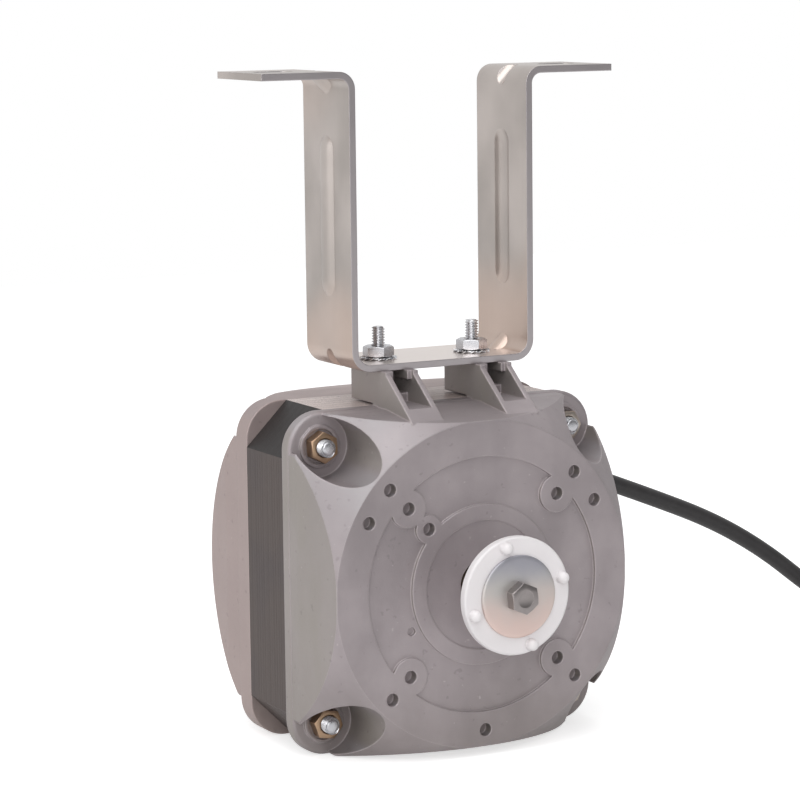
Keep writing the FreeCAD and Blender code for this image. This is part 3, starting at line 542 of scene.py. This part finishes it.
def sealed(made, distance):
    """Merges points that lie on each other, and turns all faces outwards."""
    picked(made)
    bpy.ops.object.mode_set(mode="EDIT")
    bpy.ops.mesh.select_all(action="SELECT")
    bpy.ops.mesh.remove_doubles(threshold=distance)
    bpy.ops.mesh.normals_make_consistent(inside=False)
    bpy.ops.object.mode_set(mode="OBJECT")
    return made


def swept(outline, steps=36, pitch=0.0, turns=1):
    """The outline turned about the Z axis, or a thread where it climbs by a pitch each turn."""
    made = drawn(outline)
    sweep = made.modifiers.new("sweep", "SCREW")
    sweep.axis = "Z"
    sweep.screw_offset = pitch
    sweep.iterations = turns
    sweep.steps = steps
    sweep.render_steps = steps
    bpy.ops.object.modifier_apply(modifier="sweep")
    return sealed(made, seam_merge)


def cut_off(made, height, above):
    """Cuts a solid square at a height, and closes the cut."""
    picked(made)
    bpy.ops.object.mode_set(mode="EDIT")
    bpy.ops.mesh.select_all(action="SELECT")
    bpy.ops.mesh.bisect(
        plane_co=(0, 0, height), plane_no=(0, 0, 1), use_fill=True, clear_inner=not above, clear_outer=above)
    bpy.ops.mesh.select_all(action="SELECT")
    bpy.ops.mesh.normals_make_consistent(inside=False)
    bpy.ops.object.mode_set(mode="OBJECT")


def thread_root(radius, pitch):
    """The radius at the bottom of a thread."""
    return radius - thread_depth * pitch


def thread(radius, pitch, low, high):
    """A rolled thread from low to high along Z, cut square at both ends."""
    root = thread_root(radius, pitch)
    start = low - thread_lead_in * pitch
    rise = [start + share * pitch for share in thread_flanks]
    turn = [(root, start), (root, rise[0]), (radius, rise[1]),
            (radius, rise[2]), (root, rise[3]), (root, start + pitch)]
    made = swept(turn, steps=28, pitch=pitch, turns=math.ceil((high - low) / pitch) + spare_turns)
    cut_off(made, high, above=True)
    cut_off(made, low, above=False)
    return made


def hexagon(flats, low, high, crowned_low=True, crowned_high=True):
    """A hexagonal blank along Z, with its corners turned off at the crowned ends."""
    corner = flats / math.sqrt(3)
    wide = corner * blank_margin
    narrow = crown_circle * flats
    fall = (wide - narrow) * math.tan(crown_angle)
    low_ring = [(narrow, low), (wide, low + fall)] if crowned_low else [(wide, low)]
    high_ring = [(wide, high - fall), (narrow, high)] if crowned_high else [(wide, high)]
    envelope = swept([(0, low)] + low_ring + high_ring + [(0, high)], steps=60)
    bpy.ops.object.select_all(action="DESELECT")
    bpy.ops.mesh.primitive_cylinder_add(vertices=6, radius=corner, depth=high - low)
    blank = placed(bpy.context.object, (0, 0, (low + high) / 2), (0, 0, math.pi / 6))
    return combined(blank, envelope, "INTERSECT")


def smoothed(made):
    """Smooth shading, but not over the edges."""
    picked(made)
    bpy.ops.object.shade_smooth_by_angle(angle=smooth_angle)
    return made


def through_bolt():
    """Along Z, with its rounded end uppermost."""
    root = thread_root(bolt_radius, bolt_pitch)
    seat = -bolt_head_seat
    tip = -bolt_end
    thread_start = -nut_seat - thread_behind_nut
    outline = [(0, seat - joint_lap), (bolt_radius, seat - joint_lap), (bolt_radius, thread_start),
               (root + core_lap, thread_start + thread_runout)]
    outline += [(root + wider, tip + higher) for wider, higher in bolt_rounding]
    core = swept(outline + [(0, tip)])
    rolled = thread(bolt_radius, bolt_pitch, thread_start, tip - bolt_thread_end)
    head = hexagon(bolt_flats, seat - bolt_head_height, seat, crowned_high=False)
    return joined("through_bolt", [core, rolled, head])


def hex_nut(flats, hole, low, high):
    """A nut along Z, crowned at both ends, its bore opened by a countersink."""
    blank = hexagon(flats, low, high)
    wide = hole * countersink
    widest = wide + countersink_depth
    bore = swept([
        (0, low - cutter_margin), (widest, low - cutter_margin), (wide, low), (hole, low + countersink_depth),
        (hole, high - countersink_depth), (wide, high), (widest, high + cutter_margin),
        (0, high + cutter_margin)])
    return combined(blank, bore, "DIFFERENCE")


def plated_steel(name, tone, roughness, right_tone=None):
    """Plating of one tone, or of two, the second on the motor's right side."""
    finish = Finish(name)
    wear = finish.noise(500.0, detail=4.0)
    dull = finish.noise(160.0, detail=3.0).above(0.4, 0.7)
    shade = finish.blend(wear, scaled(tone, 0.75), tone)
    if right_tone is not None:
        shade = finish.blend(finish.where("X").above(0.0, 0.01), shade, right_tone)
    shade = finish.blend(dull * 0.35, shade, scaled(tone, 0.6))
    # Edges brighten, partly as wear and partly as a painted highlight.
    wear_and_highlight_edges = finish.along_edges(0.0003, 0.02, 0.15)
    shade = finish.blend(wear_and_highlight_edges * 0.75, shade, scaled(tone, 1.9))
    bump = finish.bump(wear, 0.00002, 0.6, 0.00025)
    return finish.surface(Base_Color=shade, Metallic=0.9, Roughness=roughness + 0.12 * wear, Normal=bump)


bright_zinc = plated_steel("bright_zinc_finish", (0.64, 0.64, 0.67), 0.22)
yellow_zinc = plated_steel("yellow_zinc_finish", (0.47, 0.32, 0.21), 0.28, right_tone=(0.47, 0.42, 0.38))
first_bolt = through_bolt()
first_nut = hex_nut(bolt_flats, bolt_radius, -nut_seat, -nut_front)
bolts = []
nuts = []
for (x, z), bolt_turn, nut_turn in zip(bolt_corners, bolt_turns, nut_turns):
    bolts.append(placed(twin(first_bolt), (x, 0, z), (math.pi / 2, math.radians(bolt_turn), 0)))
    nuts.append(placed(twin(first_nut), (x, 0, z), (math.pi / 2, math.radians(nut_turn), 0)))
bpy.data.objects.remove(first_bolt)
bpy.data.objects.remove(first_nut)
housing_bolts = smoothed(joined("housing_bolts", bolts))
stand_in(housing_bolts, "through_bolts", "housing", bright_zinc)
housing_nuts = smoothed(joined("housing_nuts", nuts))
stand_in(housing_nuts, "bolt_nuts", "housing", yellow_zinc)


# Mounting bracket: one strip of galvanised sheet, blanked, ribbed and bent up in a press.
# Its broad faces carry the zinc's soft bloom, its sheared edges show bluish steel, and the top of its web
# carries a painted highlight of glare.
bloom_dark = (0.42, 0.38, 0.355)
bloom_pale = (0.56, 0.505, 0.475)
bloom_warm = (0.60, 0.445, 0.365)
web_top_glare_tone = (0.86, 0.80, 0.77)
sheared_tone = (0.465, 0.43, 0.44)


def galvanised_sheet():
    finish = Finish("bracket_finish")
    sheared = finish.maths("ABSOLUTE", finish.facing("Y")).above(0.85, 0.97)
    low_down = 1.0 - finish.where("Z").above(0.065, 0.115)
    cloud = finish.noise(30.0, detail=3.0).above(0.35, 0.7)
    warm = (finish.noise(14.0, detail=2.0) + 0.22 * low_down).above(0.5, 0.72)
    rolling = finish.noise(90.0, detail=4.0, stretch=(1.0, 22.0, 1.0))
    tone = finish.blend(cloud, bloom_dark, bloom_pale)
    tone = finish.blend(warm * 0.6, tone, bloom_warm)
    # Painted highlight: the web's upward face is made near white, as glare from above.
    web_top_glare = finish.facing("Z").above(0.9, 0.98) * low_down
    tone = finish.blend(web_top_glare * 0.8, tone, web_top_glare_tone)
    tone = finish.blend(sheared, tone, sheared_tone)
    bump = finish.bump(rolling, 0.00003, 0.6, 0.0004)
    return finish.surface(Base_Color=tone, Metallic=0.85, Roughness=0.24 + 0.18 * rolling, Normal=bump)


dress("mounting_bracket", galvanised_sheet())


# Bracket screws, toothed washers and nuts: M4 screws stand up through the lugs and the bracket,
# and each nut presses a washer with twisted outer teeth into the zinc of the sheet.
stud_x = 0.0155
stud_y = 0.034
stud_radius = 0.002
stud_pitch = 0.0008
stud_top = 0.0720
stud_chamfer = 0.0004
stud_tip_inset = 0.0002
stud_thread_end = 0.00025
stud_turn = 90
screw_seat = 0.0578
screw_head_height = 0.0028
screw_head_flats = 0.007
web_top = 0.0624
washer_thickness = 0.0008
washer_turn = 11
ring_lift = 0.0002
ring_thickness = 0.0004
ring_inner = 0.00215
ring_outer = 0.0041
tooth_count = 14
tooth_size = (0.0018, 0.0011, 0.00032)
tooth_middle = 0.00455
tooth_twist = math.radians(24)
small_nut_flats = 0.008
small_nut_height = 0.0032
small_nut_turns = (22.6, 28.0)


def bracket_screw():
    """Along Z, its head in the lug and its threaded end uppermost."""
    root = thread_root(stud_radius, stud_pitch)
    outline = [(0, screw_seat - joint_lap), (root + core_lap, screw_seat - joint_lap),
               (root + core_lap, stud_top - stud_chamfer), (root - stud_tip_inset, stud_top), (0, stud_top)]
    core = swept(outline, steps=32)
    rolled = thread(stud_radius, stud_pitch, screw_seat + thread_runout, stud_top - stud_thread_end)
    head = hexagon(screw_head_flats, screw_seat - screw_head_height, screw_seat, crowned_high=False)
    return joined("bracket_screw", [core, rolled, head])


def toothed_washer():
    """A flat ring with its teeth twisted about their own length."""
    low = web_top + ring_lift
    high = low + ring_thickness
    outline = [(ring_inner, low), (ring_outer, low), (ring_outer, high), (ring_inner, high),
               (ring_inner, low)]
    pieces = [swept(outline, steps=56)]
    for number in range(tooth_count):
        bpy.ops.object.select_all(action="DESELECT")
        bpy.ops.mesh.primitive_cube_add(size=1.0, location=(0, 0, 0))
        tooth = bpy.context.object
        tooth.scale = tooth_size
        placed(tooth)
        placed(tooth, (tooth_middle, 0, web_top + washer_thickness / 2), (tooth_twist, 0, 0))
        pieces.append(placed(tooth, turn=(0, 0, 2 * math.pi * number / tooth_count)))
    return joined("toothed_washer", pieces)


small_nut_low = web_top + washer_thickness
screws = []
washers = []
small_nuts = []
for side, nut_turn in zip((-1, 1), small_nut_turns):
    stand = (side * stud_x, stud_y, 0)
    nut = hex_nut(small_nut_flats, stud_radius, small_nut_low, small_nut_low + small_nut_height)
    screws.append(placed(bracket_screw(), stand, (0, 0, math.radians(stud_turn * side))))
    washers.append(placed(toothed_washer(), stand, (0, 0, math.radians(washer_turn * side))))
    small_nuts.append(placed(nut, stand, (0, 0, math.radians(nut_turn))))
lug_screws = smoothed(joined("lug_screws", screws))
stand_in(lug_screws, "bracket_screws", "housing", bright_zinc)
toothed_washers = smoothed(joined("toothed_washers", washers))
stand_in(toothed_washers, "bracket_lock_washers", "housing", bright_zinc)
bracket_nuts = smoothed(joined("small_nuts", small_nuts))
stand_in(bracket_nuts, "bracket_nuts", "housing", bright_zinc)


# Inside pieces: coils, bearings, shaft and rotor, which the closed covers hide.
# Copper, enamelled wire, sintered bronze, felt, spring steel and cast aluminium.
def plain_finish(name, tone, metallic, roughness, grain):
    finish = Finish(name)
    texture = finish.noise(grain, detail=3.0)
    shade = finish.blend(texture, scaled(tone, 0.8), tone)
    bump = finish.bump(texture, 0.00003, 0.5)
    return finish.surface(
        Base_Color=shade, Metallic=metallic, Roughness=roughness + 0.1 * texture, Normal=bump)


bobbins = ["coil_bobbin_%d" % number for number in range(1, 5)]
windings = ["winding_%d" % number for number in range(1, 5)]
inner_finishes = (
    (plain_finish("copper_finish", (0.72, 0.42, 0.28), 0.9, 0.35, 500.0), ["shading_rings"]),
    (plain_finish("wire_finish", (0.46, 0.19, 0.08), 0.4, 0.35, 700.0), windings),
    (plain_finish("bobbin_finish", (0.72, 0.69, 0.62), 0.0, 0.45, 300.0), bobbins),
    # Painted shade: the bronze is darkened to near black, where the bearing is seen in shadow behind the hub.
    (plain_finish("shade_darkened_bronze_finish", (0.09, 0.065, 0.045), 0.7, 0.6, 900.0), ["front_bearing", "rear_bearing"]),
    (plain_finish("felt_finish", (0.55, 0.5, 0.4), 0.0, 0.9, 1500.0), ["front_oil_felt", "rear_oil_felt"]),
    (plain_finish("spring_finish", (0.4, 0.4, 0.42), 0.9, 0.3, 500.0),
     ["front_bearing_clip", "rear_bearing_clip", "snap_rings"]),
    (plain_finish("ground_steel_finish", (0.62, 0.62, 0.62), 0.95, 0.25, 400.0), ["shaft"]),
    (plain_finish("cage_finish", (0.7, 0.7, 0.71), 0.8, 0.45, 500.0), ["rotor_cage"]),
    (plain_finish("thrust_finish", (0.05, 0.05, 0.05), 0.0, 0.5, 400.0), ["thrust_washers"]),
)
for material, nodes in inner_finishes:
    for node in nodes:
        dress(node, material)


# Fan hub: natural white nylon, moulded in one piece with its neck and four locating pins.
# It is pressed on the shaft, and the washer and the screw clamp a fan blade against it.
nylon_dark = (0.78, 0.745, 0.755)
nylon_pale = (0.85, 0.82, 0.83)
nylon_edge = 0.0006
light_reach = (0.002, 0.002, 0.002)


def white_nylon():
    finish = Finish("hub_finish")
    cloud = finish.noise(60.0, detail=3.0)
    bump = finish.bump(finish.noise(700.0), 0.00002, 0.5, nylon_edge)
    return finish.surface(
        Base_Color=finish.blend(cloud, nylon_dark, nylon_pale), Roughness=0.38 + 0.1 * cloud, Normal=bump,
        Subsurface_Weight=0.15, Subsurface_Radius=light_reach, Subsurface_Scale=1.0)


dress("fan_hub", white_nylon())


# Hub washer and screw: a slightly dished, zinc-plated steel washer with turned-down rim,
# and an M5 hexagon screw with a hollowed head in the end of the shaft.
washer_radius = 0.0118
washer_seat = 0.0188
washer_front = 0.0200
washer_hole = 0.00265
washer_edge = 0.0002
washer_dish = (
    (0.0, 0.00062), (0.00012, 0.0004), (0.0004, 0.00026), (0.0013, 0.00016), (0.0030, 0.00006), (0.0048, 0.0))
hub_head_height = 0.0035
hub_head_turn = 24.0
hub_screw_end = 0.0060
head_hollow = ((0, -0.0003), (0.0018, -0.00022), (0.0025, -0.00002), (0.0027, 0.0006), (0, 0.0006))
zinc_grey = (0.54, 0.525, 0.51)
reflected_rosy_tone = (0.70, 0.55, 0.505)
shaded_blue_tone = (0.40, 0.395, 0.44)


def dished_washer():
    """Along Z, its front uppermost and falling towards the rim."""
    outline = [(washer_hole, washer_seat), (washer_radius - washer_edge, washer_seat),
               (washer_radius, washer_seat + washer_edge)]
    outline += [(washer_radius - inset, washer_front - fall) for inset, fall in washer_dish]
    outline += [(washer_hole + washer_edge, washer_front), (washer_hole, washer_front - washer_edge),
                (washer_hole, washer_seat)]
    return swept(outline, steps=72)


def hub_bolt():
    """Along Z, its hollowed head uppermost and its shank down into the shaft."""
    high = washer_front + hub_head_height
    head = hexagon(bolt_flats, washer_front, high, crowned_low=False)
    hollow = swept([(radius, high + rise) for radius, rise in head_hollow], steps=40)
    head = combined(head, hollow, "DIFFERENCE")
    shank_top = washer_front + joint_lap
    shank = swept([
        (0, hub_screw_end), (bolt_radius, hub_screw_end), (bolt_radius, shank_top), (0, shank_top)], steps=32)
    return joined("hub_bolt", [placed(head, turn=(0, 0, math.radians(-hub_head_turn))), shank])


def washer_with_painted_reflection():
    """Grey zinc with a painted reflection, rosy and brighter towards the bottom, and painted shade, bluish
    and darker towards the top.
    """
    finish = Finish("washer_finish")
    height = finish.where("Z")
    drift = finish.noise(120.0, detail=3.0)
    # Painted reflection low down and painted shade high up, set by height.
    bottom_reflection = (height * -38.0 + 0.30 + 0.45 * drift).above(0.25, 0.95)
    top_shade = (height * 60.0 + 0.10 + 0.5 * drift).above(0.45, 1.0)
    tone = finish.blend(bottom_reflection, zinc_grey, reflected_rosy_tone)
    tone = finish.blend(top_shade, tone, shaded_blue_tone)
    bump = finish.bump(finish.noise(900.0), 0.00001, 0.4, 0.0002)
    return finish.surface(Base_Color=tone, Metallic=0.75, Roughness=0.42 + 0.1 * drift, Normal=bump)


head_zinc = plated_steel("hub_screw_finish", (0.34, 0.31, 0.305), 0.26)
washer_blank = placed(dished_washer(), turn=(math.pi / 2, 0, 0))
screw_blank = placed(hub_bolt(), turn=(math.pi / 2, 0, 0))
clamp_washer = smoothed(joined("clamp_washer", [washer_blank]))
stand_in(clamp_washer, "hub_washer", "rotor", washer_with_painted_reflection())
clamp_screw = smoothed(joined("clamp_screw", [screw_blank]))
stand_in(clamp_screw, "hub_screw", "rotor", head_zinc)


# Supply lead: a round black rubber lead, gripped by a moulded strain relief in the rear cover's side.
# It droops to the floor, where its spare length lies in a small flat coil. At the cut end of the
# sheath, three cores follow the coil's inside and fan out to their bared copper tips.
lead_diameter = 0.0054
lead_exit = (0.0751, 0.0620, 0.0154)
lead_rest = cad_low.z + lead_diameter / 2
coil_middle = Vector((0.160, 0.006))
coil_outer = 0.0326
coil_inner = coil_outer - lead_diameter
coil_steps = 18
coil_points = 2 * coil_steps - 3
inward_start = 0.72
inward_length = 0.28
core_diameter = 0.002
core_rest = cad_low.z + core_diameter / 2
core_bundle = ((0.0011, -0.0006), (0.0, 0.0010), (-0.0011, -0.0006))
core_ends = (-0.0083, -0.0060, -0.0038)
core_lane = 0.0234
core_lane_step = 0.0021
core_bundle_angles = (86, 76)
core_fan_angle = 58
core_lane_angles = (38, 15, -10, -35, -58)
core_tail = ((0.1600, -0.0085, 0.0006), (0.1530, -0.0036, 0.0), (0.1450, 0.0, 0.0))
bare_tip = (-0.001, 0.003, 0.006)
bare_width = 0.5
core_merge = 0.000005


def black_rubber():
    finish = Finish("lead_finish")
    dust = finish.noise(300.0, detail=4.0)
    tone = finish.blend(dust, (0.021, 0.019, 0.020), (0.038, 0.035, 0.036))
    bump = finish.bump(finish.noise(1800.0), 0.00003, 0.5)
    return finish.surface(Base_Color=tone, Roughness=0.42 + 0.15 * dust, Normal=bump)


def coil_point(radius, degrees, height):
    angle = math.radians(degrees)
    return (coil_middle.x + radius * math.cos(angle), coil_middle.y + radius * math.sin(angle), height)


def lead_points():
    """Down to the floor, then nearly two turns, the second one inside the first."""
    points = [
        lead_exit,
        (0.0975, 0.0620, 0.0067),
        (0.1205, 0.0620, -0.0031),
        (0.1395, 0.0615, -0.0144),
        (0.1555, 0.0600, -0.0271),
        (0.1695, 0.0550, -0.0379),
        (0.1805, 0.0455, -0.0448),
        (0.1876, 0.0330, lead_rest),
        (0.1926, 0.0180, lead_rest),
    ]
    for step in range(coil_points):
        inward = (step - inward_start * coil_steps) / (inward_length * coil_steps)
        shift = min(1.0, max(0.0, inward))
        radius = coil_outer - lead_diameter * shift * shift * (3 - 2 * shift)
        points.append(coil_point(radius, -360 * step / coil_steps, lead_rest))
    return points


def round_run(name, diameter, material):
    """An empty run of round material, and the object that shows it."""
    curve = bpy.data.curves.new(name, "CURVE")
    curve.dimensions = "3D"
    curve.bevel_depth = diameter / 2
    curve.bevel_resolution = 6
    curve.resolution_u = 8
    curve.use_fill_caps = True
    curve.materials.append(material)
    run = bpy.data.objects.new(name, curve)
    bpy.context.scene.collection.objects.link(run)
    return run


def add_run(run, points, width=1.0, material_index=0):
    """A smooth line through the run, near its control points."""
    spline = run.data.splines.new("NURBS")
    spline.points.add(len(points) - 1)
    for control, point in zip(spline.points, points):
        control.co = (*point, 1.0)
        control.radius = width
    spline.order_u = 3
    spline.use_endpoint_u = True
    spline.material_index = material_index


def bared_cores(insulation, copper):
    """The lead's cores: the outer one of the bundle ends lowest, and none crosses another."""
    cores = round_run("lead_cores", core_diameter, insulation)
    cores.data.materials.append(copper)
    for number, ((spread, rise), end_y) in enumerate(zip(core_bundle, core_ends)):
        lane = core_lane - core_lane_step * number
        high = lead_rest + rise
        points = [coil_point(coil_inner + spread, degrees, high) for degrees in core_bundle_angles]
        points.append(coil_point((coil_inner + lane) / 2, core_fan_angle, (core_rest + high) / 2))
        points += [coil_point(lane, degrees, core_rest) for degrees in core_lane_angles]
        points += [(x, end_y + before + closer * number, core_rest) for x, before, closer in core_tail]
        add_run(cores, points)
        end = Vector(points[-1])
        along = (end - Vector(points[-2])).normalized()
        tip = [tuple(end + along * step) for step in bare_tip]
        add_run(cores, tip, width=bare_width, material_index=1)
    picked(cores)
    bpy.ops.object.convert(target="MESH")
    cores = sealed(bpy.context.object, core_merge)
    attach(cores, "housing")
    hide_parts("cable_cores")
    return cores


rubber = black_rubber()
dress("strain_relief", rubber)
core_colour = plain_finish("core_finish", (0.12, 0.2, 0.42), 0.0, 0.4, 300.0)
bare_copper = plain_finish("bare_copper_finish", (0.80, 0.47, 0.32), 0.9, 0.3, 500.0)
dress("cable_cores", core_colour)
lead = round_run("supply_lead", lead_diameter, rubber)
add_run(lead, lead_points())
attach(lead, "housing")
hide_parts("cable_run", "cable_coil")
cores = bared_cores(core_colour, bare_copper)
